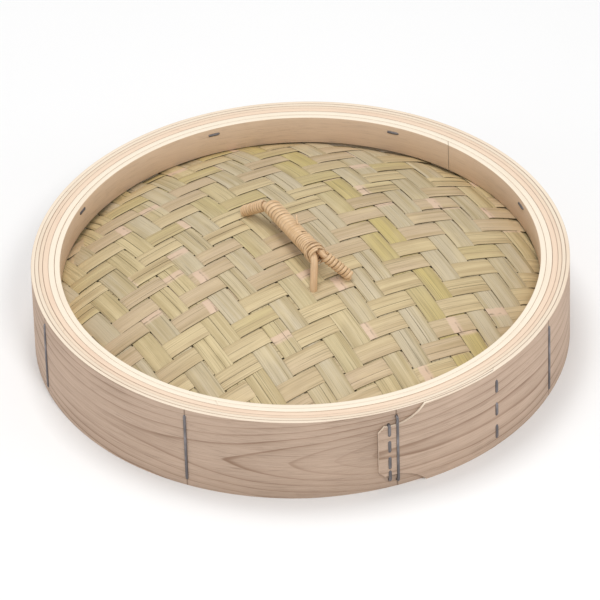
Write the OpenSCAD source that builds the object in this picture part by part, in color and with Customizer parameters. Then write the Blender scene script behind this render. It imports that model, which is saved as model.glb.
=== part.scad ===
// Domed lid of a large bamboo steamer: a bent-board hoop, two clamping rings,
// a woven cover over a lining mat, wire staples and a wrapped cane handle.
// Millimetres, +Z up, origin on the floor under the centre of the hoop.

/* [Hoop] */
// Outside diameter of the hoop
lid_d = 420; // [320:1:520]
// Height of the hoop
hoop_h = 73; // [66:1:100]
// Thickness of each of the three hoop boards
board_t = 3; // [2.6:0.1:4]
// Radial gap between one layer of the wall and the next
layer_gap = 0.1; // [0.05:0.01:0.2]
// Height of the step that slips over the basket below
step_h = 12; // [10:0.5:16]
// How far the step is turned back into the inner board
step_relief = 0.6; // [0.1:0.05:0.8]
// Gap left where the two ends of a bent ring meet
joint_gap = 0.3; // [0.1:0.05:0.6]

/* [Lap of the outer board] */
// Angle of the tip of the tongue, about the hoop's axis
tongue_a = -74.9; // [-76:0.1:-73]
// Angle where the inner end stops under the lap
inner_end_a = -46; // [-50:0.5:-44]
// Height of the bump over the lap
lap_rise = 1; // [0.6:0.1:1.2]
// Depth of the hollow that the tongue lies in
lap_sink = 1.5; // [1.2:0.1:1.6]
// Radius of the curved notch above and below the tongue
notch_r = 35; // [33:1:38]
// Depth of that notch
notch_depth = 13; // [9:0.5:16]
// Length of the cut on each corner of the tongue
tongue_corner = 4.5; // [2:0.5:6]

/* [Clamping rings] */
// Thickness of the outer ply of each ring
ply_outer_t = 4.2; // [3:0.1:6]
// Thickness of the middle ply of each ring
ply_middle_t = 4.7; // [3:0.1:6]
// Thickness of the inner ply of each ring
ply_inner_t = 4.3; // [3:0.1:6]
// Depth of the recess from the rim down to the edge of the cover
recess_h = 24.5; // [18:0.5:28]

/* [Cover] */
// Thickness of the woven cover
cover_t = 2.4; // [1.6:0.1:3]
// Thickness of the lining mat below it
lining_t = 1.8; // [1.2:0.1:2.4]
// Gap between the two mats, and between a mat and a ring
mat_gap = 0.15; // [0.1:0.05:0.3]
// Rise of the dome from its edge to its crown
dome_h = 40.5; // [32:0.5:50]

/* [Wire] */
// Diameter of the fixing wire
wire_d = 2; // [1.6:0.1:2.2]
// How far the wire is pulled into the wood
wire_sink = 0.8; // [0.5:0.1:0.9]
// Clearance of the wire in its holes and grooves
wire_clear = 0.05; // [0.03:0.01:0.1]
// Height of the lower leg of a staple
staple_low = 6.2; // [5:0.1:7]
// Distance of the upper leg of a staple below the rim
staple_drop = 5.7; // [5:0.1:8]
// Length of the clinched end of a staple
clinch_l = 9; // [6:0.5:12]
// Angle of the first staple
staple_a = -70.7; // [-71.2:0.1:-70.2]

/* [Handle] */
// Diameter of the cane
cane_d = 5.7; // [4:0.1:6.5]
// Length of the straight grip
grip_l = 77.4; // [60:0.1:100]
// Height of the grip's centre line above the crown of the cover
grip_rise = 16; // [15:0.5:30]
// Direction of the grip, about the hoop's axis
handle_a = -62.3; // [-90:0.1:90]
// Shift of the handle along the grip
handle_along = 5.5; // [-10:0.1:10]
// Shift of the handle across the grip
handle_across = -7.8; // [-10:0.1:10]
// Thickness of the rattan wrapping on the grip
grip_wrap_t = 0.7; // [0.5:0.1:1.2]
// Thickness of the rattan wrapping on a leg
leg_wrap_t = 1.2; // [0.8:0.1:1.6]
// Clearance between the cane and what surrounds it
cane_clear = 0.1; // [0.1:0.01:0.15]
// Distance of the near feet beyond the end of the grip
near_out = 12.8; // [10:0.1:20]
// Distance of the left far foot beyond the end of the grip
far_left_out = 23.5; // [14:0.1:28]
// Distance of the right far foot beyond the end of the grip
far_right_out = 12.5; // [10:0.1:20]
// Distance of the near left foot to the side of the grip
near_left_side = 11.4; // [8:0.1:20]
// Distance of the near right foot to the side of the grip
near_right_side = 19.4; // [10:0.1:24]
// Distance of the far left foot to the side of the grip
far_left_side = 10.1; // [8:0.1:20]
// Distance of the far right foot to the side of the grip
far_right_side = 11.8; // [8:0.1:20]
// Diameter of the strand tied over the near end of the grip
binding_d = 1.2; // [1:0.1:2]

/* [Anchor battens] */
// Width of each batten
batten_w = 14; // [10:0.5:20]
// Thickness of each batten
batten_t = 5; // [4:0.5:8]
// Length of cane bent over along the batten
tail_l = 18; // [12:1:26]
// Thickness of the lashing strip
lash_t = 0.8; // [0.5:0.1:1]
// Width of the lashing strip
lash_w = 6; // [4:0.5:8]

/* [Hidden] */

// Facets of large rounds and of wire and cane
$fn = 180;
small_fn = 32;
// Overlap that joins two shapes of one piece, and run-out of a cut past a face
join = 0.2;
run_out = 1;
// Extra diameter of the ball that rounds a bend in wire or cane
bend_swell = 0.08;

// Wall layers from the outside in: three boards, then three plies
lid_r = lid_d / 2;
LAYER_T = [board_t, board_t, board_t, ply_outer_t, ply_middle_t, ply_inner_t];
JOINT_A = [0, 152, 205, 118, 250, 50.5];
function layer_r(k) = k == 0 ? lid_r : layer_r(k - 1) - LAYER_T[k - 1] - layer_gap;
function layer_in(k) = layer_r(k) - LAYER_T[k];
boards_in = layer_in(2);
wall_in = layer_in(5);

// Heights of the cover, the lining and the rings
edge_z = hoop_h - recess_h;
upper_z = edge_z + mat_gap;
lining_z = edge_z - cover_t - mat_gap;
lower_z = lining_z - lining_t - mat_gap;
dome_r = (pow(wall_in, 2) + pow(dome_h, 2)) / (2 * dome_h);
crown_z = edge_z + dome_h;
dome_z = crown_z - dome_r;

// Lap: the board bulges over it and is hollowed under it, each by an off-centre circle
lap_mid_a = (tongue_a + inner_end_a) / 2;
bump_half_a = 35;
hollow_half_a = 28;
bump_shift = lap_rise / (1 - cos(bump_half_a));
bump_r = lid_r + lap_rise - bump_shift;
hollow_shift = lap_sink / (1 - cos(hollow_half_a));
hollow_r = lid_r - lap_sink + hollow_shift;
inner_end_gap_a = 0.3;
notch_a = tongue_a + 3.1;
// Radius of the outside surface at an angle
function skin_r(a) = max(lid_r, bump_r + bump_shift * cos(a - lap_mid_a));

// Staples stand an eighth of a turn apart, and each stitch is a row of dashes [low, high]
STAPLE_A = [for (k = [0:7]) staple_a + 45 * k];
lap_stitch_a = inner_end_a;
tongue_stitch_a = tongue_a + 2.4;
LAP_DASHES = [[0.11, 0.27], [0.41, 0.56], [0.71, 0.86]] * hoop_h;
TONGUE_DASHES = [[0.11, 0.24], [0.27, 0.42], [0.49, 0.63], [0.7, 0.83]] * hoop_h;
STITCHES = [[lap_stitch_a, LAP_DASHES], [tongue_stitch_a, TONGUE_DASHES]];

// Handle frame: x along the grip towards the near end, y to its right, origin over its middle
cane_r = cane_d / 2;
grip_z = crown_z + grip_rise;
dome_c = [-handle_along, -handle_across, dome_z];
bundle_r = cane_r * (1 + 2 / sqrt(3)) + cane_clear;
wrap_r = bundle_r + grip_wrap_t;
leg_wrap_r = cane_r + cane_clear + leg_wrap_t;
side_y = cane_r + cane_clear / 2;
side_z = grip_z + cane_r / sqrt(3);
filler_z = grip_z - cane_d / sqrt(3) - cane_clear;
knee_h = 3;
wrap_start = 5.5;
binding_tilt = 14;

function unit(v) = v / norm(v);
function on_dome(x, y) = [x, y, dome_z + sqrt(pow(dome_r, 2) - pow(x - dome_c.x, 2) - pow(y - dome_c.y, 2))];
// Feet [left, right] at the near end (0) and the far end (1)
FEET = [
    [on_dome(grip_l / 2 + near_out, -near_left_side), on_dome(grip_l / 2 + near_out, near_right_side)],
    [on_dome(-grip_l / 2 - far_left_out, -far_left_side), on_dome(-grip_l / 2 - far_right_out, far_right_side)]];
function mid(e) = (FEET[e][0] + FEET[e][1]) / 2;
function half_span(e) = norm(FEET[e][1] - FEET[e][0]) / 2;
function normal(e) = unit(mid(e) - dome_c);
function along(e) = unit(FEET[e][1] - FEET[e][0]);
function grip_end(e, side) = [(e == 0 ? 1 : -1) * grip_l / 2, (side == 0 ? -1 : 1) * side_y, side_z];

// Depths below the feet, measured along the normal: batten top, batten underside, tail centre
batten_over = tail_l + cane_r + 3;
function dome_fall(e) = (pow(half_span(e) + batten_over, 2) + pow(batten_w / 2, 2) - pow(half_span(e), 2))
    / (2 * (dome_r - cover_t - lining_t));
function batten_top(e) = cover_t + mat_gap + lining_t + dome_fall(e) + lash_t + 2 * cane_clear;
function batten_low(e) = batten_top(e) + batten_t;
function tail_depth(e) = batten_low(e) + cane_clear + cane_r;
function knee(e, side) = FEET[e][side] + knee_h * normal(e);
function turn(e, side) = FEET[e][side] - tail_depth(e) * normal(e);
function tail_end(e, side) = turn(e, side) + (side == 0 ? -1 : 1) * tail_l * along(e);

// ---- shared shapes ----

// Children turned so that their z axis points along v
module aim(v) {
    rotate([0, acos(v.z / norm(v)), atan2(v.y, v.x)]) children();
}
// Round bar from a to b
module bar(a, b, d) {
    translate(a) aim(b - a) cylinder(d = d, h = norm(b - a), $fn = small_fn);
}

// Bars through a list of points, which stop just inside the slight swelling at each bend
module bent_bar(points, d) {
    last = len(points) - 1;
    for (i = [1:last]) {
        short = join * unit(points[i] - points[i - 1]);
        bar(points[i - 1] + (i == 1 ? 0 : 1) * short, points[i] - (i == last ? 0 : 1) * short, d);
    }
    for (i = [1:len(points) - 2]) translate(points[i])
        aim(unit(points[i] - points[i - 1]) + unit(points[i + 1] - points[i]))
            sphere(d = d + bend_swell, $fn = small_fn);
}

// Flat sector between two angles, reaching past the hoop
module sector(a0, a1) {
    steps = 6;
    polygon(concat([[0, 0]], [for (i = [0:steps]) 2 * lid_r * [cos(a0 + (a1 - a0) * i / steps),
        sin(a0 + (a1 - a0) * i / steps)]]));
}

// One layer of the wall as a bent strip whose ends meet on a slant
module wall_layer(k, z0, z1) {
    difference() {
        translate([0, 0, z0]) cylinder(r = layer_r(k), h = z1 - z0);
        translate([0, 0, z0 - run_out]) cylinder(r = layer_in(k), h = z1 - z0 + 2 * run_out);
        rotate([0, 0, JOINT_A[k]]) translate([(layer_r(k) + layer_in(k)) / 2, 0, (z0 + z1) / 2])
            rotate([0, 0, 40]) cube([4 * LAYER_T[k], joint_gap, z1 - z0 + 2 * run_out], center = true);
    }
}

// Wire set at an angle: an upright run at radius r, and a leg from radius r0 to r1 at height z
module upright(a, r, z0, z1, d) {
    rotate([0, 0, a]) translate([r, 0, z0]) cylinder(d = d, h = z1 - z0, $fn = small_fn);
}
module leg(a, r0, r1, z, d) {
    rotate([0, 0, a]) translate([r0, 0, z]) rotate([0, 90, 0]) cylinder(d = d, h = r1 - r0, $fn = small_fn);
}

// ---- wire ----

function crown_r(a) = skin_r(a) + wire_d / 2 - wire_sink;
staple_high = hoop_h - staple_drop;
top_clinch_r = wall_in + wire_sink - wire_d / 2;
// The wire at the foot and behind the stitches lies flush in the inner board
flush_r = boards_in + step_relief + wire_clear + wire_d / 2;

// One staple: out through the wall, up the skin, and back in, with both ends clinched
module staple(a) {
    crown = crown_r(a);
    rotate([0, 0, a]) bent_bar([[flush_r, clinch_l, staple_low], [flush_r, 0, staple_low], [crown, 0, staple_low],
        [crown, 0, staple_high], [top_clinch_r, 0, staple_high], [top_clinch_r, clinch_l, staple_high]], wire_d);
}
// A running stitch that shows its dashes outside and hides its runs in the inner board
module stitch(a, dashes) {
    crown = crown_r(a);
    rotate([0, 0, a]) bent_bar([for (p = dashes, q = [[flush_r, 0, p[0]], [crown, 0, p[0]], [crown, 0, p[1]],
        [flush_r, 0, p[1]]]) q], wire_d);
}

// Room for the wire in wall layer k: every leg that crosses the layer, the outside runs in the
// skin of the outer board, and slots for the flush wire in the inner board
module wire_cuts(k) {
    d = wire_d + 2 * wire_clear;
    for (a = STAPLE_A) {
        leg(a, top_clinch_r, crown_r(a), staple_high, d);
        if (k < 3) leg(a, flush_r, crown_r(a), staple_low, d);
        if (k == 0) upright(a, crown_r(a), staple_low, staple_high, d);
        if (k == 2) rotate([0, 0, a]) translate([flush_r - wire_d, -d / 2, staple_low - d / 2])
            cube([wire_d + d / 2, clinch_l + d, d]);
        if (k == 5) rotate([0, 0, a]) translate([top_clinch_r - wire_d, -d / 2, staple_high - d / 2])
            cube([wire_d + d / 2, clinch_l + d, d]);
    }
    if (k < 3) for (s = STITCHES) {
        for (p = s[1], z = p) leg(s[0], flush_r, crown_r(s[0]), z, d);
        if (k == 0) for (p = s[1]) upright(s[0], crown_r(s[0]), p[0], p[1], d);
        if (k == 2) rotate([0, 0, s[0]]) for (i = [1:len(s[1]) - 1])
            translate([flush_r - wire_d, -d / 2, s[1][i - 1][1] - d / 2])
                cube([wire_d + d / 2, d, s[1][i][0] - s[1][i - 1][1] + d]);
        if (k == 2) rotate([0, 0, s[0]]) for (z = [s[1][0][0], s[1][len(s[1]) - 1][1]])
            translate([flush_r - wire_d, -d / 2, z - d / 2]) cube([wire_d + d / 2, d, d]);
    }
}

module wall_staples() {
    color("dimgray") for (a = STAPLE_A) staple(a);
}
module lap_stitch() {
    color("dimgray") stitch(lap_stitch_a, LAP_DASHES);
}
module tongue_stitch() {
    color("dimgray") stitch(tongue_stitch_a, TONGUE_DASHES);
}

// ---- hoop ----

module bump_disc() {
    circle(r = lid_r);
    rotate(lap_mid_a) translate([bump_shift, 0]) circle(r = bump_r);
}
module hollow_circle(grow) {
    rotate(lap_mid_a) translate([-hollow_shift, 0]) circle(r = hollow_r + grow);
}

// The outer end of the board, which lies over the lap and narrows to a tongue
module tongue() {
    difference() {
        linear_extrude(hoop_h) difference() {
            intersection() {
                bump_disc();
                sector(tongue_a, inner_end_a + inner_end_gap_a);
            }
            hollow_circle(layer_gap);
        }
        for (z = [notch_depth - notch_r, hoop_h - notch_depth + notch_r])
            leg_cut(notch_a, z);
        for (flip = [0, 1]) translate([0, 0, flip * hoop_h]) mirror([0, 0, flip]) corner_cut();
    }
}
module leg_cut(a, z) {
    rotate([0, 0, a]) translate([lid_r / 2, 0, z]) rotate([0, 90, 0]) cylinder(r = notch_r, h = lid_r);
}
module corner_cut() {
    rotate([0, 0, tongue_a]) translate([lid_r / 2, 0, notch_depth - run_out]) rotate([90, 0, 90])
        linear_extrude(lid_r) polygon([[-run_out, -notch_depth], [tongue_corner, -notch_depth],
            [tongue_corner - run_out, 0], [-join, tongue_corner], [-run_out, tongue_corner]]);
}

module outer_board() {
    color("tan") difference() {
        union() {
            linear_extrude(hoop_h) difference() {
                union() {
                    difference() {
                        intersection() {
                            circle(r = lid_r);
                            hollow_circle(0);
                        }
                        sector(inner_end_a - inner_end_gap_a, lap_mid_a + bump_half_a + 10);
                    }
                    intersection() {
                        bump_disc();
                        sector(inner_end_a, lap_mid_a + bump_half_a + 10 + inner_end_gap_a);
                    }
                }
                circle(r = layer_in(0));
            }
            tongue();
        }
        wire_cuts(0);
    }
}
module middle_board() {
    color("burlywood") difference() {
        wall_layer(1, 0, hoop_h);
        wire_cuts(1);
    }
}
module inner_board() {
    color("tan") difference() {
        wall_layer(2, 0, hoop_h);
        translate([0, 0, -step_h]) cylinder(r = boards_in + step_relief, h = 2 * step_h);
        wire_cuts(2);
    }
}

// ---- clamping rings ----

module upper_ply(k) {
    difference() {
        wall_layer(k, upper_z, hoop_h);
        wire_cuts(k);
    }
}
module upper_ring_outer_ply() {
    color("bisque") upper_ply(3);
}
module upper_ring_middle_ply() {
    color("wheat") upper_ply(4);
}
module upper_ring_inner_ply() {
    color("bisque") upper_ply(5);
}
module lower_ring_outer_ply() {
    color("bisque") wall_layer(3, step_h, lower_z);
}
module lower_ring_middle_ply() {
    color("wheat") wall_layer(4, step_h, lower_z);
}
module lower_ring_inner_ply() {
    color("bisque") wall_layer(5, step_h, lower_z);
}

// ---- mats ----

// A domed sheet with a flat edge clamped between the rings
module domed_mat(r, t, z) {
    difference() {
        union() {
            intersection() {
                translate([0, 0, dome_z]) sphere(r = r);
                translate([0, 0, z]) cylinder(r = wall_in - layer_gap, h = crown_z);
            }
            difference() {
                translate([0, 0, z]) cylinder(r = boards_in - layer_gap, h = t);
                translate([0, 0, z - run_out]) cylinder(r = wall_in - layer_gap - join, h = t + 2 * run_out);
            }
        }
        translate([0, 0, dome_z]) sphere(r = r - t);
        handle_frame() for (e = [0, 1], side = [0, 1]) post(e, side, cane_d + 2 * cane_clear);
    }
}
module woven_cover() {
    color("darkkhaki") domed_mat(dome_r, cover_t, edge_z - cover_t);
}
module lining_mat() {
    color("khaki") domed_mat(dome_r - cover_t - mat_gap, lining_t, lining_z - lining_t);
}

// ---- handle ----

module handle_frame() {
    rotate([0, 0, handle_a]) translate([handle_along, handle_across, 0]) children();
}
// Frame at the middle of one pair of feet: x along the batten, z along the normal
module foot_frame(e) {
    n = normal(e);
    az = atan2(n.y, n.x);
    pol = acos(n.z);
    ex = [cos(pol) * cos(az), cos(pol) * sin(az), -sin(pol)];
    ey = [-sin(az), cos(az), 0];
    handle_frame() translate(mid(e)) rotate([0, pol, az]) rotate([0, 0, atan2(along(e) * ey, along(e) * ex)])
        children();
}
// The part of a leg that passes straight through the mats
module post(e, side, d) {
    bar(turn(e, side), knee(e, side), d);
}
module cane(side) {
    handle_frame() bent_bar([tail_end(1, side), turn(1, side), knee(1, side), grip_end(1, side),
        grip_end(0, side), knee(0, side), turn(0, side), tail_end(0, side)], cane_d);
}
module left_handle_cane() {
    color("peru") cane(0);
}
module right_handle_cane() {
    color("peru") cane(1);
}
module grip_filler_cane() {
    color("sandybrown") handle_frame() bar([-grip_l / 2 + cane_r, 0, filler_z], [grip_l / 2 - cane_r, 0, filler_z],
        cane_d);
}

module grip_wrapping() {
    color("burlywood") handle_frame() difference() {
        bar([-grip_l / 2 + run_out, 0, grip_z], [grip_l / 2 - run_out, 0, grip_z], 2 * wrap_r);
        bar([-grip_l / 2, 0, grip_z], [grip_l / 2, 0, grip_z], 2 * bundle_r);
    }
}
// Sleeve on one leg, from just under the grip to just above the foot
module leg_wrapping(e, side) {
    leg_dir = unit(knee(e, side) - grip_end(e, side));
    top = grip_end(e, side) + wrap_start * leg_dir;
    foot = knee(e, side) - (cane_r + 2 * cane_clear) * leg_dir;
    color("burlywood") handle_frame() difference() {
        bar(top, foot, 2 * leg_wrap_r);
        bar(grip_end(e, side), knee(e, side), cane_d + 2 * cane_clear);
    }
}
module far_leg_wrapping() {
    leg_wrapping(1, 0);
}
module near_leg_wrapping() {
    leg_wrapping(0, 1);
}
// Two strands crossed over the near end of the grip
module end_binding() {
    ring_r = (wrap_r + cane_clear + binding_d / 2) / cos(binding_tilt);
    color("peru") handle_frame() translate([grip_l / 2 - wrap_r, 0, grip_z]) for (t = [-1, 1])
        rotate([0, 90 + t * binding_tilt, 0]) rotate_extrude() translate([ring_r, 0]) circle(d = binding_d, $fn = small_fn);
}

// ---- battens under the mats ----

module batten(e) {
    l = 2 * (half_span(e) + batten_over);
    color("darkgoldenrod") foot_frame(e) difference() {
        translate([-l / 2, -batten_w / 2, -batten_low(e)]) cube([l, batten_w, batten_t]);
        for (s = [-1, 1]) translate([s * half_span(e), 0, -batten_low(e) - run_out])
            cylinder(d = cane_d + 2 * cane_clear, h = batten_t + 2 * run_out, $fn = small_fn);
    }
}
// Outline of a strip laid round a batten and the cane below it, grown by g
function strip_outline(e, g) = [
    [-batten_w / 2 - g, -batten_top(e) + g], [batten_w / 2 + g, -batten_top(e) + g],
    [batten_w / 2 + g, -batten_low(e)], [cane_r + g, -tail_depth(e) - cane_r - g],
    [-cane_r - g, -tail_depth(e) - cane_r - g], [-batten_w / 2 - g, -batten_low(e)]];
module lashings(e) {
    lash_x = half_span(e) + tail_l / 2 - lash_w / 2;
    color("peru") foot_frame(e) for (flip = [0, 1]) mirror([flip, 0, 0]) translate([lash_x, 0, 0])
        rotate([90, 0, 90]) linear_extrude(lash_w) difference() {
            polygon(strip_outline(e, cane_clear + lash_t));
            polygon(strip_outline(e, cane_clear));
        }
}
module near_batten() {
    batten(0);
}
module far_batten() {
    batten(1);
}
module near_batten_lashings() {
    lashings(0);
}
module far_batten_lashings() {
    lashings(1);
}

outer_board();
middle_board();
inner_board();
upper_ring_outer_ply();
upper_ring_middle_ply();
upper_ring_inner_ply();
lower_ring_outer_ply();
lower_ring_middle_ply();
lower_ring_inner_ply();
woven_cover();
lining_mat();
wall_staples();
lap_stitch();
tongue_stitch();
left_handle_cane();
right_handle_cane();
grip_filler_cane();
grip_wrapping();
far_leg_wrapping();
near_leg_wrapping();
end_binding();
near_batten();
far_batten();
near_batten_lashings();
far_batten_lashings();
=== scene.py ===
"""Looks of a round steamer lid: bent boards, ply rings, a woven dome and a wrapped cane handle."""

import logging
import math
import random
from dataclasses import dataclass, field
from enum import Enum
from typing import Callable, Sequence

import bmesh
import bpy
import numpy as np
from mathutils import Matrix, Vector


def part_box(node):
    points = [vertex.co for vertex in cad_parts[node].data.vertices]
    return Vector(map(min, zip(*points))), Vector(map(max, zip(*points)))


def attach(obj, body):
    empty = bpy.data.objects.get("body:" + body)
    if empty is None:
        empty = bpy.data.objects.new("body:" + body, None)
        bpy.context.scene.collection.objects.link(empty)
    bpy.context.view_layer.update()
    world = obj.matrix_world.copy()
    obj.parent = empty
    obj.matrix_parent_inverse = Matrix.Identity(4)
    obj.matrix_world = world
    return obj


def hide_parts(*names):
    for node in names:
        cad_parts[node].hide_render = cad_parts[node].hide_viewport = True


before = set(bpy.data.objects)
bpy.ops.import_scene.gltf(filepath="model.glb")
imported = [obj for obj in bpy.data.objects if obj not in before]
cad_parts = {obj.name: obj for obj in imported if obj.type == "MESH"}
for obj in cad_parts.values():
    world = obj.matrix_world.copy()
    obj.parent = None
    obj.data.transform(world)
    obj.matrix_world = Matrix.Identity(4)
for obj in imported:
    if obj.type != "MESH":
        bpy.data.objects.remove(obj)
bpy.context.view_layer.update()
LOG = logging.getLogger("steamer_lid")
MM = 0.001
TINY = 1e-12
Colour = tuple[float, float, float]
Reshape = Callable[[np.ndarray], np.ndarray]


# ---- shader arithmetic ----


class Link:
    """One output socket of a material, used in arithmetic as if it were a number."""

    def __init__(self, paint: "Paint", socket: bpy.types.NodeSocket) -> None:
        """Keeps the socket and the material that it belongs to.

        Args:
            paint: The material being built.
            socket: The output socket.
        """
        self.paint = paint
        self.socket = socket

    def _math(self, operation: str, a: "Link | float", b: "Link | float") -> "Link":
        """Adds a Math node.

        Args:
            operation: The node's operation.
            a: First value.
            b: Second value.

        Returns:
            The result.
        """
        return self.paint.node("ShaderNodeMath", {"operation": operation}, {0: a, 1: b})

    def __add__(self, other: "Link | float") -> "Link":
        """Sum."""
        return self._math("ADD", self, other)

    def __radd__(self, other: "Link | float") -> "Link":
        """Sum, reflected."""
        return self._math("ADD", other, self)

    def __sub__(self, other: "Link | float") -> "Link":
        """Difference."""
        return self._math("SUBTRACT", self, other)

    def __rsub__(self, other: "Link | float") -> "Link":
        """Difference, reflected."""
        return self._math("SUBTRACT", other, self)

    def __mul__(self, other: "Link | float") -> "Link":
        """Product."""
        return self._math("MULTIPLY", self, other)

    def __rmul__(self, other: "Link | float") -> "Link":
        """Product, reflected."""
        return self._math("MULTIPLY", other, self)

    def __truediv__(self, other: "Link | float") -> "Link":
        """Quotient."""
        return self._math("DIVIDE", self, other)

    def __rtruediv__(self, other: "Link | float") -> "Link":
        """Quotient, reflected."""
        return self._math("DIVIDE", other, self)


class Paint:
    """Builds the nodes of one material."""

    def __init__(self, name: str) -> None:
        """Starts an empty material.

        Args:
            name: The material's name.
        """
        self.material = bpy.data.materials.new(name)
        self.material.use_nodes = True
        self.tree = self.material.node_tree
        self.tree.nodes.clear()

    def node(self, kind: str, settings: dict | None = None, sockets: dict | None = None, out: int = 0) -> Link:
        """Adds one node.

        Args:
            kind: The node's type.
            settings: Properties set first.
            sockets: Values or links by input index or name.
            out: Index of the output that is returned.

        Returns:
            The chosen output.
        """
        made = self.tree.nodes.new(kind)
        for key, value in (settings or {}).items():
            setattr(made, key, value)
        for key, value in (sockets or {}).items():
            if isinstance(value, Link):
                self.tree.links.new(value.socket, made.inputs[key])
            else:
                made.inputs[key].default_value = value
        return Link(self, made.outputs[out])

    def carried(self, name: str, out: int = 2) -> Link:
        """Reads an attribute: output 1 is its vector and 2 its number."""
        return self.node("ShaderNodeAttribute", {"attribute_name": name}, out=out)

    def lay(self) -> tuple[Link, Link, Link]:
        """Returns the place along, across and through the straight stock, in metres."""
        parts = self.node("ShaderNodeSeparateXYZ", {}, {0: self.carried("lay", 1)})
        return parts, Link(self, parts.socket.node.outputs[1]), Link(self, parts.socket.node.outputs[2])

    def vector(self, x: Link | float, y: Link | float, z: Link | float = 0.0) -> Link:
        """Joins three numbers into a vector."""
        return self.node("ShaderNodeCombineXYZ", {}, {0: x, 1: y, 2: z})

    def grain(self, x: Link | float, y: Link | float, z: Link | float, detail: float = 2.0,
              rough: float = 0.5) -> Link:
        """Noise at a place given by three numbers."""
        return self.noise(self.vector(x, y, z), detail, rough)

    def noise(self, place: Link, detail: float = 2.0, rough: float = 0.5) -> Link:
        """Noise of unit scale, about 0.5."""
        return self.node("ShaderNodeTexNoise", {},
                         {"Vector": place, "Scale": 1.0, "Detail": detail, "Roughness": rough})

    def rise(self, value: Link, low: float, high: float) -> Link:
        """Goes smoothly from 0 at low to 1 at high."""
        return self.node("ShaderNodeMapRange", {"interpolation_type": "SMOOTHSTEP"}, {0: value, 1: low, 2: high})

    def one(self, operation: str, value: Link) -> Link:
        """A Math node that takes one value, such as SQRT, FRACT or ABSOLUTE."""
        return self.node("ShaderNodeMath", {"operation": operation}, {0: value})

    def mix(self, share: Link | float, a: Link | Colour, b: Link | Colour) -> Link:
        """Mixes two colours.

        Args:
            share: How much of b shows.
            a: First colour.
            b: Second colour.

        Returns:
            The mixed colour.
        """
        a, b = ((*c, 1.0) if isinstance(c, tuple) else c for c in (a, b))
        return self.node("ShaderNodeMix", {"data_type": "RGBA"}, {0: share, 6: a, 7: b}, out=2)

    def finish(self, colour: Link, rough: Link | float, height: Link | None = None, depth: float = 0.0002,
               fixed: dict | None = None) -> bpy.types.Material:
        """Ends the material with its shader.

        Args:
            colour: Base colour.
            rough: Roughness.
            height: Relief from 0 to 1.
            depth: Depth of the relief in metres.
            fixed: Other values of the shader, the same all over.

        Returns:
            The finished material.
        """
        sockets = {"Base Color": colour, "Roughness": rough, **(fixed or {})}
        if height is not None:
            sockets["Normal"] = self.node("ShaderNodeBump", {}, {"Strength": 1.0, "Distance": depth, "Height": height})
        shader = self.node("ShaderNodeBsdfPrincipled", {}, sockets)
        self.node_output(shader)
        return self.material

    def node_output(self, shader: Link) -> None:
        """Links a shader to the material's output."""
        output = self.tree.nodes.new("ShaderNodeOutputMaterial")
        self.tree.links.new(shader.socket, output.inputs[0])


# ---- finishes ----


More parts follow.
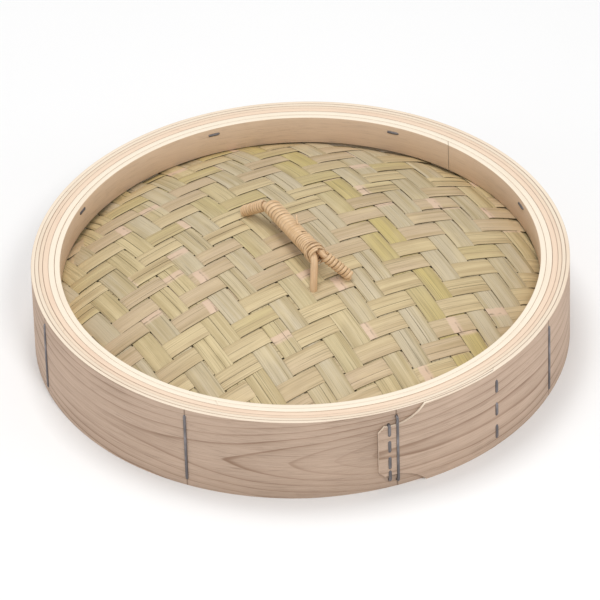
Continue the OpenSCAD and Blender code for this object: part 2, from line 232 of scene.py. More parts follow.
@dataclass(frozen=True)
class BoardWood:
    """Flat-sawn softwood: weathered grain on the faces, pale fresh wood on the cut edges.

    Attributes:
        name: The material's name.
        face: Wood between the growth rings.
        line: Dark side of each growth ring.
        edge: Cut edges and ends.
        edge_line: Streaks on the cut edges.
        heart_x: Place along the stock where the rings arch.
        heart_y: Place across the stock of the arches' middle.
        arch: Half-length of the arches.
        deep: How far below the face the heart lies.
        ring: Width of one growth ring.
        line_depth: Strength of the rings.
        heartwood: How brown the wood is at the arches.
        scribe_from: Place of the first marking-out line.
        scribe_step: Distance between the marking-out lines; 0 for none.
        relief: Depth of the relief.
    """

    name: str
    face: Colour
    line: Colour
    edge: Colour
    edge_line: Colour
    heart_x: float = 0.0
    heart_y: float = 0.0
    arch: float = 0.15
    deep: float = 0.034
    ring: float = 0.0036
    line_depth: float = 0.75
    heartwood: float = 0.0
    scribe_from: float = 0.0
    scribe_step: float = 0.0
    relief: float = 0.22 * MM

    def make(self) -> bpy.types.Material:
        """Returns the material, with grain that follows the stock."""
        p = Paint(self.name)
        x, y, z = p.lay()
        slow = p.grain(x * 5.0, y * 9.0, 0.3)
        drift = p.grain(x * 22.0, y * 60.0, 1.7)
        u = (y - self.heart_y) + (slow - 0.5) * 0.016 + (drift - 0.5) * 0.0012
        away = (x - self.heart_x) / self.arch
        v = (1.0 - p.one("EXPONENT", away * away * -1.0)) * self.deep
        v = v + (p.grain(x * 4.0, y * 6.0, 4.1, 1.0) - 0.5) * 0.010
        turn = (p.one("SQRT", u * u + v * v) + p.one("ABSOLUTE", u) * 0.16) / self.ring
        turn = turn + (p.grain(x * 3.0, y * 40.0, 7.7, 1.0) - 0.5) * 0.9
        saw = p.one("FRACT", turn)
        late = p.rise(saw, 0.40, 0.93) * (1.0 - p.rise(saw, 0.95, 1.0))
        late = late * 0.32 + p.rise(saw, 0.80, 0.93) * (1.0 - p.rise(saw, 0.95, 1.0)) * 0.68
        strength = p.rise(p.grain(x * 6.0, y * 26.0, 2.2), 0.25, 0.70)
        late = late * (0.20 + strength * 0.80) * self.line_depth
        fibre = p.grain(x * 26.0, y * 1500.0, z * 900.0, 3.0, 0.6)
        pores = p.rise(p.grain(x * 60.0, y * 2600.0, z * 900.0, 1.0), 0.60, 0.72)
        mottle = p.grain(x * 12.0, y * 20.0, z * 50.0 + 5.0, 3.0)
        heart = p.one("EXPONENT", away * away * -0.8) * p.rise(slow, 0.2, 0.6)
        brown = tuple(0.52 * a + 0.14 * b for a, b in zip(self.face, self.line))
        colour = p.mix(heart * self.heartwood, self.face, brown)
        colour = p.mix(late, colour, self.line)
        colour = p.mix(p.rise(fibre, 0.35, 0.75) * 0.34, colour, self.line)
        colour = p.mix(pores * 0.35, colour, shaded(self.line, 0.55))
        colour = p.mix(p.rise(mottle, 0.3, 0.75) * 0.35, colour, shaded(self.face, 1.25))
        height = 0.6 - late * 0.3 + fibre * 0.5 - pores * 0.3
        if self.scribe_step:
            cycle = (x - self.scribe_from) / self.scribe_step + 0.5
            away = p.one("ABSOLUTE", p.one("FRACT", cycle) - 0.5) * self.scribe_step
            scribe = 1.0 - p.rise(away, 0.0002, 0.0009)
            colour = p.mix(scribe * 0.55, colour, shaded(self.line, 0.45))
            height = height - scribe * 0.8
        thin = p.grain(x * 9.0, y * 300.0, z * 2200.0, 3.0, 0.6)
        patch = p.grain(x * 14.0, y * 20.0, z * 120.0 + 3.0)
        pale = p.mix(p.rise(thin, 0.35, 0.75) * 0.35, self.edge, self.edge_line)
        pale = p.mix(p.rise(patch, 0.45, 0.8) * 0.5, pale, self.edge_line)
        colour = p.mix(p.rise(p.carried("cut"), 0.25, 0.75), colour, pale)
        return p.finish(colour, 0.62 + fibre * 0.16, height, self.relief, {"Specular IOR Level": 0.32})


@dataclass(frozen=True)
class SplitBamboo:
    """Split bamboo strip: fine lengthwise fibres, a paler ring at each joint of the stem, painted shade along the
    sides and in the gaps.

    Attributes:
        name: The material's name.
        light: Most strips.
        deep: Their fibres.
        other: Some strips.
        third: A few more strips.
        joint: Ring at a joint of the stem.
        joint_step: Distance between joints.
        gloss: Roughness of the smoothest places.
        gap: Near-black painted shade on the cut sides, which show in the gaps.
        relief: Depth of the relief.
    """

    name: str
    light: Colour
    deep: Colour
    other: Colour
    third: Colour
    joint: Colour
    joint_step: float = 0.21
    gloss: float = 0.42
    # Near-black painted shade for the gaps between strips.
    gap: Colour = (0.034, 0.022, 0.012)
    relief: float = 0.22 * MM

    def make(self) -> bpy.types.Material:
        """Returns the material; each strip's own number varies its tone."""
        p = Paint(self.name)
        x, y, z = p.lay()
        own = p.carried("own")
        shift = own * 37.0
        wide = p.grain(x * 6.0, y * 170.0, shift)
        fine = p.grain(x * 30.0, y * 2600.0, shift + 9.0, 3.0, 0.65)
        hair = p.rise(p.grain(x * 14.0, y * 1300.0, shift + 4.0), 0.57, 0.70)
        patch = p.grain(x * 25.0, y * 60.0, shift + 2.0)
        drift = p.grain(x * 9.0, y * 25.0, shift + 6.0, 1.0)
        base = p.mix(p.rise(p.one("FRACT", own * 7.31) + (drift - 0.5) * 0.9, 0.25, 0.75), self.light, self.other)
        base = p.mix(p.rise(p.one("FRACT", own * 11.7) + (drift - 0.5) * -0.8, 0.45, 0.95), base, self.third)
        colour = p.mix(p.rise(wide, 0.38, 0.72) * 0.7, base, self.deep)
        colour = p.mix(p.rise(fine, 0.40, 0.75) * 0.42, colour, shaded(self.deep, 0.60))
        colour = p.mix(hair * 0.50, colour, shaded(self.deep, 0.36))
        colour = p.mix(p.rise(patch, 0.5, 0.8) * 0.35, colour, shaded(self.light, 1.18))
        stem = p.one("FRACT", x / self.joint_step + own * 5.17 + (wide - 0.5) * 0.012)
        band = p.rise(stem, 0.470, 0.478) * (1.0 - p.rise(stem, 0.500, 0.520))
        mark = p.rise(stem, 0.497, 0.500) * (1.0 - p.rise(stem, 0.502, 0.507))
        shown = p.rise(p.one("FRACT", own * 3.77), 0.22, 0.26)
        colour = p.mix(band * shown * 0.8, colour, self.joint)
        colour = p.mix(mark * shown * p.rise(wide + patch * 0.5, 0.55, 1.0) * 0.7, colour,
                       shaded(self.deep, 0.34))
        # Painted shade: the top face darkens towards its long edges, where the strips meet.
        side = p.rise(p.one("ABSOLUTE", p.carried("brim")), 0.93, 1.0)
        colour = p.mix(side * 0.35, colour, shaded(self.deep, 0.34))
        # Painted shade: the cut sides and ends are coloured near-black, for the shadow in the gaps between strips.
        colour = p.mix(p.rise(p.carried("cut"), 0.35, 0.85) * 0.85, colour, self.gap)
        height = wide * 0.35 + fine * 0.6 - hair * 0.3 + band * shown * 1.2
        return p.finish(colour, self.gloss + fine * 0.2, height, self.relief, {"Specular IOR Level": 0.45})


@dataclass(frozen=True)
class CaneSkin:
    """Rattan: shiny skin with faint lengthwise streaks and soft colour changes.

    Attributes:
        name: The material's name.
        light: The paler skin.
        deep: The darker skin.
        streaks: Streaks to a metre across the strand.
        side: Strength of the painted shade along the strand's sides, between the turns.
        relief: Depth of the relief.
    """

    name: str
    light: Colour
    deep: Colour
    streaks: float = 1800.0
    side: float = 0.0
    relief: float = 0.12 * MM

    def make(self) -> bpy.types.Material:
        """Returns the material, which follows each strand."""
        p = Paint(self.name)
        x, y, z = p.lay()
        streak = p.grain(x * 40.0, y * self.streaks, z * self.streaks, 3.0, 0.6)
        slow = p.grain(x * 30.0, y * 90.0, z * 90.0 + 3.0, 3.0)
        fleck = p.rise(p.grain(x * 160.0, y * 2400.0, z * 900.0, 1.0), 0.64, 0.74)
        colour = p.mix(p.rise(slow, 0.32, 0.70), self.light, self.deep)
        colour = p.mix(p.rise(streak, 0.4, 0.8) * 0.4, colour, shaded(self.deep, 0.62))
        colour = p.mix(fleck * 0.35, colour, shaded(self.deep, 0.45))
        # Painted shade: the strand darkens towards its sides, where the turns meet.
        brim = p.rise(p.one("ABSOLUTE", p.carried("brim")), 0.55, 1.0)
        colour = p.mix(brim * self.side, colour, shaded(self.deep, 0.42))
        return p.finish(colour, 0.34 + streak * 0.22, streak * 0.8 - fleck * 0.3, self.relief,
                        {"Coat Roughness": 0.3, "Coat Weight": 0.25})


@dataclass(frozen=True)
class DrawnWire:
    """Galvanised wire, dull grey with scuffed streaks."""

    name: str
    bright: Colour = (0.34, 0.32, 0.33)
    dull: Colour = (0.16, 0.15, 0.155)
    relief: float = 0.03 * MM

    def make(self) -> bpy.types.Material:
        """Returns the material."""
        p = Paint(self.name)
        x, y, z = p.lay()
        scuff = p.grain(x * 120.0, y * 900.0, z * 900.0, 3.0, 0.6)
        wide = p.grain(x * 60.0, y * 90.0, z * 90.0 + 2.0)
        colour = p.mix(p.rise(scuff * 0.4 + wide * 0.6, 0.45, 0.70), self.dull, self.bright)
        return p.finish(colour, 0.36 + scuff * 0.15, scuff, self.relief, {"Metallic": 0.75})


@dataclass(frozen=True)
class PaleFloor:
    """Plain matt studio floor."""

    name: str = "pale_floor"
    grey: Colour = (0.93, 0.93, 0.93)
    pale: Colour = (0.95, 0.95, 0.95)

    def make(self) -> bpy.types.Material:
        """Returns the material."""
        p = Paint(self.name)
        place = p.node("ShaderNodeTexCoord", out=3)
        tone = p.noise(p.node("ShaderNodeVectorMath", {"operation": "SCALE"}, {0: place, 3: 4.0}), 2.0)
        return p.finish(p.mix(tone, self.grey, self.pale), 0.9)


class Finish(Enum):
    """The finishes of the lid, by the part that takes them."""

    OUTER = BoardWood("outer_board_wood", (0.56, 0.415, 0.315), (0.24, 0.14, 0.085), (0.90, 0.78, 0.63),
                      (0.72, 0.54, 0.39), heart_x=1.41, heart_y=-0.004, ring=0.0058, line_depth=1.0, heartwood=1.0,
                      scribe_from=0.0154, scribe_step=0.16493)
    MIDDLE = BoardWood("middle_board_wood", (0.60, 0.45, 0.34), (0.42, 0.28, 0.19), (0.87, 0.75, 0.60),
                       (0.74, 0.57, 0.42), heart_x=0.7)
    INNER = BoardWood("inner_board_wood", (0.60, 0.46, 0.36), (0.44, 0.30, 0.21), (0.85, 0.70, 0.54),
                      (0.76, 0.52, 0.38), heart_x=0.2, heart_y=0.01)
    BAND = BoardWood("ring_wood_warm", (0.66, 0.50, 0.38), (0.50, 0.34, 0.24), (0.87, 0.69, 0.53),
                     (0.77, 0.55, 0.41), heart_x=0.5, heart_y=0.012, ring=0.005, line_depth=0.4)
    PLY = BoardWood("ring_wood_cream", (0.70, 0.53, 0.385), (0.56, 0.40, 0.28), (0.93, 0.83, 0.68),
                    (0.83, 0.69, 0.53), heart_x=0.1, heart_y=0.02, ring=0.006, line_depth=0.35)
    STEEP = SplitBamboo("cover_strips_green", (0.65, 0.525, 0.295), (0.44, 0.335, 0.16), (0.60, 0.505, 0.345),
                        (0.58, 0.46, 0.18), (0.72, 0.52, 0.38))
    SHALLOW = SplitBamboo("cover_strips_tan", (0.67, 0.535, 0.305), (0.47, 0.345, 0.18), (0.62, 0.475, 0.305),
                          (0.60, 0.49, 0.22), (0.74, 0.54, 0.40))
    # The lining's bamboo tone is given darker than the cover's: painted shade for where it shows through the holes of
    # the weave.
    LINING = SplitBamboo("lining_strips", (0.55, 0.43, 0.25), (0.42, 0.31, 0.16), (0.58, 0.46, 0.30),
                         (0.50, 0.42, 0.22), (0.62, 0.50, 0.34))
    CANE = CaneSkin("bare_cane", (0.76, 0.53, 0.315), (0.62, 0.39, 0.20), 1200.0)
    # The wrapping's side value paints shade along each strand's sides, between the turns.
    WRAP = CaneSkin("rattan_wrapping_skin", (0.78, 0.54, 0.315), (0.64, 0.41, 0.21), side=0.55)
    BATTEN = BoardWood("batten_bamboo", (0.60, 0.46, 0.26), (0.42, 0.29, 0.14), (0.66, 0.52, 0.32),
                       (0.48, 0.34, 0.18), ring=0.0016, line_depth=0.4)
    WIRE = DrawnWire("galvanised_wire")
    FLOOR = PaleFloor()


def finish_of(choice: Finish) -> bpy.types.Material:
    """Returns a finish's material, made the first time it is asked for."""
    return bpy.data.materials.get(choice.value.name) or choice.value.make()


# ---- stock and bending ----


def clear_selection() -> None:
    """Leaves edit mode and deselects everything."""
    if bpy.context.mode != "OBJECT":
        bpy.ops.object.mode_set(mode="OBJECT")
    bpy.ops.object.select_all(action="DESELECT")


def pick_edges(piece: bpy.types.Object, test: Callable[[bmesh.types.BMEdge], bool]) -> None:
    """Selects edges of the piece in edit mode.

    Args:
        piece: The object in edit mode.
        test: Tells whether an edge is wanted.
    """
    bpy.ops.mesh.select_mode(type="EDGE")
    bpy.ops.mesh.select_all(action="DESELECT")
    form = bmesh.from_edit_mesh(piece.data)
    for edge in form.edges:
        edge.select_set(test(edge))
    bmesh.update_edit_mesh(piece.data)


def points_of(piece: bpy.types.Object) -> np.ndarray:
    """Returns the piece's points as rows of x, y and z.

    Args:
        piece: The object.
    """
    flat = np.empty(len(piece.data.vertices) * 3)
    piece.data.vertices.foreach_get("co", flat)
    return flat.reshape(-1, 3)


def set_points(piece: bpy.types.Object, points: np.ndarray) -> None:
    """Moves the piece's points to the given rows."""
    piece.data.vertices.foreach_set("co", points.astype(np.float32).ravel())
    piece.data.update()


def keep(piece: bpy.types.Object, name: str, kind: str, domain: str, values: np.ndarray) -> None:
    """Stores an attribute on the piece's mesh.

    Args:
        piece: The object.
        name: The attribute's name.
        kind: FLOAT or FLOAT_VECTOR.
        domain: POINT or FACE.
        values: One value or row for each point or face.
    """
    old = piece.data.attributes.get(name)
    if old is not None:
        piece.data.attributes.remove(old)
    made = piece.data.attributes.new(name, kind, domain)
    made.data.foreach_set("vector" if kind == "FLOAT_VECTOR" else "value", values.astype(np.float32).ravel())


def unit(rows: np.ndarray) -> np.ndarray:
    """Scales rows to length 1."""
    return rows / np.maximum(np.linalg.norm(rows, axis=-1, keepdims=True), TINY)


def turned(rows: np.ndarray, degrees: float) -> np.ndarray:
    """Turns rows about the upright axis."""
    return rows @ np.array(Matrix.Rotation(math.radians(degrees), 3, "Z")).T


def on_round(radius: np.ndarray, angle: np.ndarray, height: np.ndarray) -> np.ndarray:
    """Returns rows of x, y and z from a radius, an angle and a height."""
    return np.stack([radius * np.cos(angle), radius * np.sin(angle), height], axis=1)


def shaded(colour: Colour, share: float) -> Colour:
    """Multiplies a colour, up to white."""
    return tuple(min(1.0, share * c) for c in colour)


@dataclass
class Stock:
    """Straight stock along X, with its width along Y and its thickness along Z.

    Attributes:
        length: Length along X.
        width: Width along Y, or the diameter of round stock.
        depth: Thickness along Z; 0 for round stock.
        steps: Pieces that the length is divided into; rounded to a square number.
        across: Pieces that the width is divided into, or the sides of round stock.
        soften: Size of the rounding along the edges.
    """

    length: float
    width: float
    depth: float = 0.0
    steps: int = 100
    across: int = 1
    soften: float = 0.0

    def cut(self, name: str) -> bpy.types.Object:
        """Makes the straight piece.

        Args:
            name: The object's name.

        Returns:
            The object, in object mode.
        """
        clear_selection()
        centre = (self.length / 2, 0.0, 0.0)
        if self.depth:
            bpy.ops.mesh.primitive_cube_add(size=1.0, location=centre, scale=(self.length, self.width, self.depth))
        else:
            bpy.ops.mesh.primitive_cylinder_add(vertices=self.across, radius=self.width / 2, depth=self.length,
                                                location=centre, rotation=(0.0, math.pi / 2, 0.0))
        piece = bpy.context.active_object
        piece.name = piece.data.name = name
        bpy.ops.object.transform_apply(location=True, rotation=True, scale=True)
        bpy.ops.object.mode_set(mode="EDIT")
        if self.depth and self.across > 1:
            pick_edges(piece, lambda e: abs(e.verts[0].co.y - e.verts[1].co.y) > self.width / 2)
            bpy.ops.mesh.subdivide(number_cuts=self.across - 1)
        if self.soften:
            if self.depth:
                edge_y, edge_z = 0.499 * self.width, 0.499 * self.depth
                pick_edges(piece, lambda e: all(abs(v.co.y) > edge_y and abs(v.co.z) > edge_z for v in e.verts))
            else:
                pick_edges(piece, lambda e: abs(e.verts[0].co.x - e.verts[1].co.x) < self.length / 2)
            bpy.ops.mesh.bevel(offset=self.soften, segments=2, affect="EDGES")
        root = max(1, round(math.sqrt(self.steps)))
        for least in (self.length / 2, self.length / (2 * root)):
            pick_edges(piece, lambda e: abs(e.verts[0].co.x - e.verts[1].co.x) > least)
            if root > 1:
                bpy.ops.mesh.subdivide(number_cuts=root - 1)
        bpy.ops.object.mode_set(mode="OBJECT")
        mark_cut(piece)
        keep(piece, "brim", "FLOAT", "POINT", 2 * points_of(piece)[:, 1] / self.width)
        return piece


def mark_cut(piece: bpy.types.Object) -> None:
    """Marks the narrow and end faces of straight stock with 1, and its broad faces with 0.

    Args:
        piece: The straight piece.
    """
    normals = np.empty(len(piece.data.polygons) * 3)
    piece.data.polygons.foreach_get("normal", normals)
    keep(piece, "cut", "FLOAT", "FACE", 1.0 - np.abs(normals.reshape(-1, 3)[:, 2]))


def bend(piece: bpy.types.Object, place: Reshape, trim: Reshape | None = None, own: float = 0.0) -> None:
    """Trims straight stock, records where its grain lies, and bends it into place.

    Args:
        piece: The straight piece.
        place: Takes straight points to their place on the lid.
        trim: Takes straight points to trimmed straight points.
        own: The piece's own number, which varies its tone.
    """
    points = points_of(piece)
    if trim is not None:
        points = trim(points)
    keep(piece, "lay", "FLOAT_VECTOR", "POINT", points)
    keep(piece, "own", "FLOAT", "POINT", np.full(len(points), own))
    set_points(piece, place(points))


def copy_of(piece: bpy.types.Object, name: str) -> bpy.types.Object:
    """Returns a copy of a piece with its own mesh.

    Args:
        piece: The object to copy.
        name: The copy's name.
    """
    twin = piece.copy()
    twin.data = piece.data.copy()
    twin.name = twin.data.name = name
    bpy.context.collection.objects.link(twin)
    return twin


def join(parts: Sequence[bpy.types.Object], name: str) -> bpy.types.Object:
    """Joins parts into one piece.

    Args:
        parts: The objects.
        name: The joined object's name.

    Returns:
        The joined object.
    """
    clear_selection()
    for part in parts:
        part.select_set(True)
    bpy.context.view_layer.objects.active = parts[0]
    if len(parts) > 1:
        bpy.ops.object.join()
    whole = bpy.context.view_layer.objects.active
    whole.name = whole.data.name = name
    return whole


def present(piece: bpy.types.Object, finish: Finish, node: str, angle: float = 40.0) -> None:
    """Dresses a finished piece and sets it on the lid.

    Args:
        piece: The object.
        finish: Its finish.
        node: The frame's node that it stands for.
        angle: Edges flatter than this many degrees are shaded smooth.
    """
    clear_selection()
    piece.select_set(True)
    bpy.context.view_layer.objects.active = piece
    bpy.ops.object.mode_set(mode="EDIT")
    bpy.ops.mesh.select_all(action="SELECT")
    bpy.ops.mesh.normals_make_consistent(inside=False)
    bpy.ops.object.mode_set(mode="OBJECT")
    bpy.ops.object.shade_smooth_by_angle(angle=math.radians(angle))
    piece.data.materials.clear()
    piece.data.materials.append(finish_of(finish))
    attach(piece, "root")
    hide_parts(node)
    LOG.info("%s: %d faces", piece.name, len(piece.data.polygons))


@dataclass
class Route:
    """A line in space that stock is bent along.

    Attributes:
        points: Rows of x, y and z along the line.
        ups: Which way the stock's thickness faces at each point; carried along the line if left out.
    """

    points: np.ndarray
    ups: np.ndarray | None = None
    run: np.ndarray = field(init=False)
    ahead: np.ndarray = field(init=False)

    def __post_init__(self) -> None:
        """Works out the length run and the frame at each point."""
        steps = np.linalg.norm(np.diff(self.points, axis=0), axis=1)
        self.run = np.concatenate([[0.0], np.cumsum(steps)])
        self.ahead = unit(np.gradient(self.points, axis=0))
        if self.ups is None:
            up = np.array([0.0, 0.0, 1.0]) if abs(self.ahead[0][2]) < 0.9 else np.array([1.0, 0.0, 0.0])
            carried = []
            for ahead in self.ahead:
                up = up - ahead * float(up @ ahead)
                up = up / np.linalg.norm(up)
                carried.append(up)
            self.ups = np.array(carried)

    @property
    def length(self) -> float:
        """Length of the line."""
        return float(self.run[-1])

    def place(self, points: np.ndarray) -> np.ndarray:
        """Takes straight points to their place along the line.

        Args:
            points: Rows of straight points.

        Returns:
            Rows of places on the lid.
        """
        def at(rows: np.ndarray) -> np.ndarray:
            """Rows at the points' distances along the line."""
            return np.stack([np.interp(points[:, 0], self.run, rows[:, k]) for k in range(3)], axis=1)
        ahead = unit(at(self.ahead))
        up = at(self.ups)
        up = unit(up - ahead * np.sum(up * ahead, axis=1, keepdims=True))
        return at(self.points) + np.cross(up, ahead) * points[:, 1:2] + up * points[:, 2:3]


def rounded(corners: Sequence[Sequence[float]], reach: float, steps: int = 10) -> np.ndarray:
    """Rounds the corners of a line.

    Args:
        corners: The line's corners.
        reach: How far before and after each corner the bend starts and ends.
        steps: Points in each bend.

    Returns:
        Rows along the rounded line, evenly spaced.
    """
    c = [np.array(p, dtype=float) for p in corners]
    line = [c[0]]
    for before, at, after in zip(c, c[1:], c[2:]):
        r = min(reach, 0.49 * np.linalg.norm(at - before), 0.49 * np.linalg.norm(after - at))
        a, b = at + unit(before - at) * r, at + unit(after - at) * r
        for t in np.linspace(0.0, 1.0, steps):
            line.append((1 - t) ** 2 * a + 2 * t * (1 - t) * at + t ** 2 * b)
    line = np.array(line + [c[-1]])
    run = np.concatenate([[0.0], np.cumsum(np.linalg.norm(np.diff(line, axis=0), axis=1))])
    even = np.linspace(0.0, run[-1], 40 * len(c))
    return np.stack([np.interp(even, run, line[:, k]) for k in range(3)], axis=1)


def wave(x: np.ndarray, seed: float, size: float, count: int = 3) -> np.ndarray:
    """Sum of slow waves over an angle or length, the same each time.

    Args:
        x: Where it is wanted, about 0 to 6 for one turn.
        seed: Picks the waves.
        size: Largest height of each wave.
        count: How many waves.

    Returns:
        The height at each place.
    """
    total = np.zeros_like(x)
    for k in range(1, count + 1):
        total += size / k * np.sin(k * x + seed * (1.7 + 2.3 * k))
    return total


# ---- hoop ----


@dataclass
class Hoop:
    """The wall: three bent boards and, inside them, an upper and a lower ring of three plies each."""

    height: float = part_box("outer_board")[1][2]
    thick: Sequence[float] = (3 * MM, 3 * MM, 3 * MM, 4.2 * MM, 4.7 * MM, 4.3 * MM)
    gap: float = 0.1 * MM
    radius: float = 210 * MM
    joints: Sequence[float] = (0.0, 152.0, 205.0, 118.0, 250.0, 50.5)
    tongue_a: float = -74.9
    inner_end_a: float = -46.0
    rise: float = 1.0 * MM
    sink: float = 1.5 * MM
    notch_r: float = 35 * MM
    notch_depth: float = 13 * MM
    corner: float = 4.5 * MM
    soften: float = 0.45 * MM
    bump_half: float = 35.0
    hollow_half: float = 28.0
    notch_a: float = 3.1
    fine_a: float = 14.0
    fine_share: float = 0.22
    scarf: float = 20 * MM
    scarf_slope: float = 0.84

    def outer_r(self, k: int) -> float:
        """Outside radius of layer k, counted inwards."""
        return self.radius - sum(self.thick[:k]) - k * self.gap

    def lap_r(self, angle: np.ndarray, size: float, half: float, out: int) -> np.ndarray:
        """Radius of the bump over the lap (out 1) or of the hollow below it (out -1).

        Args:
            angle: Angles in degrees.
            size: Height of the bump or depth of the hollow.
            half: Half of the angle it spans.
            out: 1 for the bump, -1 for the hollow.

        Returns:
            The radius at each angle.
        """
        shift = size / (1 - math.cos(math.radians(half)))
        circle = self.radius + out * (size - shift)
        rel = np.radians(angle - (self.tongue_a + self.inner_end_a) / 2)
        return out * shift * np.cos(rel) + np.sqrt(circle ** 2 - (shift * np.sin(rel)) ** 2)

    def tongue_low(self, x: np.ndarray) -> np.ndarray:
        """Height of the tongue's lower edge at a distance from its tip.

        Args:
            x: Distances from the tip.

        Returns:
            The edge's height at each distance.
        """
        centre = math.radians(self.notch_a) * self.radius
        away = np.clip(x - centre, -self.notch_r, self.notch_r)
        curve = self.notch_depth - self.notch_r + np.sqrt(self.notch_r ** 2 - away ** 2)
        nick = self.notch_depth + self.corner - x
        low = np.maximum(curve, np.where(x < self.corner, nick, 0.0))
        return np.where(x < centre + self.notch_r, np.maximum(low, 0.0), 0.0)

    def outer_board(self) -> None:
        """Builds the outer board, whose narrowed end laps over its other end."""
        turn = self.inner_end_a + 360.0 - self.tongue_a
        length = math.radians(turn) * self.radius
        stock = Stock(length, self.height, self.thick[0], 784, 1, self.soften)
        piece = stock.cut("outer_board_bent")
        fine = math.radians(self.fine_a) * self.radius

        def trim(p: np.ndarray) -> np.ndarray:
            """Crowds the cuts near the tip and cuts the tongue's outline.

            Args:
                p: Rows of straight points.

            Returns:
                Rows of trimmed straight points.
            """
            q = p.copy()
            share = p[:, 0] / length
            past = (share - self.fine_share) / (1 - self.fine_share)
            q[:, 0] = np.where(past < 0, share / self.fine_share * fine, fine + past * (length - fine))
            low = self.tongue_low(q[:, 0])
            room = (self.height - 2 * low) / self.height
            q[:, 1] = p[:, 1] * room
            return q

        def place(p: np.ndarray) -> np.ndarray:
            """Bends the board round, with the tongue outside.

            Args:
                p: Rows of straight points.

            Returns:
                Rows of places on the lid.
            """
            a = self.tongue_a + np.degrees(p[:, 0] / self.radius)
            over = a < self.inner_end_a
            under = a > self.inner_end_a + 360 - 50
            skin = np.maximum(self.radius, self.lap_r(a, self.rise, self.bump_half, 1))
            hollow = self.lap_r(a, self.sink, self.hollow_half, -1)
            r_out = np.where(under, np.minimum(self.radius, hollow), np.where(a < 20, skin, self.radius))
            r_in = np.where(over, hollow + self.gap, self.radius - self.thick[0])
            share = p[:, 2] / self.thick[0] + 0.5
            r = r_in + share * (r_out - r_in) + wave(np.radians(a), 2.0, 0.06 * MM)
            r = r + np.where(over, 0.45 * MM * np.exp(-p[:, 0] / (12 * MM)) + 0.15 * MM, 0.0)
            rad = np.radians(a)
            return on_round(r, rad, self.height / 2 + p[:, 1])

        bend(piece, place, trim, 0.31)
        present(piece, Finish.OUTER, "outer_board", angle=38.0)

    def layer(self, name: str, k: int, low: float, high: float, finish: Finish, node: str) -> None:
        """Builds one closed layer whose ends meet on a slant.

        Args:
            name: The piece's name.
            k: Layer, counted inwards.
            low: Height of its lower edge.
            high: Height of its upper edge.
            finish: Its finish.
            node: The node that it stands for.
        """
        middle = self.outer_r(k) - self.thick[k] / 2
        length = 2 * math.pi * middle - (0.35 * MM if k == 5 else 0.03 * MM)
        stock = Stock(length, high - low, self.thick[k], 361, 1, self.soften)
        piece = stock.cut(name)
        start = math.radians(self.joints[k])

        def trim(p: np.ndarray) -> np.ndarray:
            """Cuts both ends on the same slant.

            Args:
                p: Rows of straight points.

            Returns:
                Rows of trimmed straight points.
            """
            q = p.copy()
            near = np.clip(1 - p[:, 0] / self.scarf, 0, 1) + np.clip(1 - (length - p[:, 0]) / self.scarf, 0, 1)
            q[:, 0] += self.scarf_slope * p[:, 2] * near
            return q

        def place(p: np.ndarray) -> np.ndarray:
            """Bends the layer round.

            Args:
                p: Rows of straight points.

            Returns:
                Rows of places on the lid.
            """
            a = start + p[:, 0] / middle
            r = middle + p[:, 2] + wave(a, k + 0.5, 0.05 * MM)
            z = (low + high) / 2 + p[:, 1] + np.where(p[:, 1] > 0, wave(a, k + 3.1, 0.09 * MM, 4), 0.0)
            return on_round(r, a, z)

        bend(piece, place, trim, 0.1 + 0.13 * k)
        present(piece, finish, node, angle=38.0)

    def build(self) -> None:
        """Builds every layer."""
        self.outer_board()
        self.layer("middle_board_bent", 1, 0.0, self.height, Finish.MIDDLE, "middle_board")
        self.layer("inner_board_bent", 2, 0.0, self.height, Finish.INNER, "inner_board")
        for k, (ply, finish) in enumerate((("outer", Finish.BAND), ("middle", Finish.PLY), ("inner", Finish.PLY)), 3):
            for ring in ("upper", "lower"):
                node = f"{ring}_ring_{ply}_ply"
                low, high = (corner[2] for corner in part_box(node))
                self.layer(f"{ring}_{ply}_ply_bent", k, low, high, finish, node)


# ---- woven mats ----


@dataclass
class Dome:
    """The shape of the cover: part of a ball."""

    crown: float = 89 * MM
    rise: float = 40.5 * MM
    edge_r: float = 187.3 * MM

    @property
    def radius(self) -> float:
        """Radius of the ball."""
        return (self.rise ** 2 + self.edge_r ** 2) / (2 * self.rise)

    def at(self, x: np.ndarray, y: np.ndarray, up: np.ndarray) -> np.ndarray:
        """Places above points of the plan, at a height along the ball's radius.

        Args:
            x: Places across the plan.
            y: Places up the plan.
            up: Heights above the ball.

        Returns:
            Rows of x, y and z.
        """
        sink = self.crown - self.radius
        z = np.sqrt(self.radius ** 2 - x ** 2 - y ** 2)
        rows = np.stack([x, y, z], axis=1)
        return rows * (1 + up / self.radius)[:, None] + np.array([0.0, 0.0, sink])


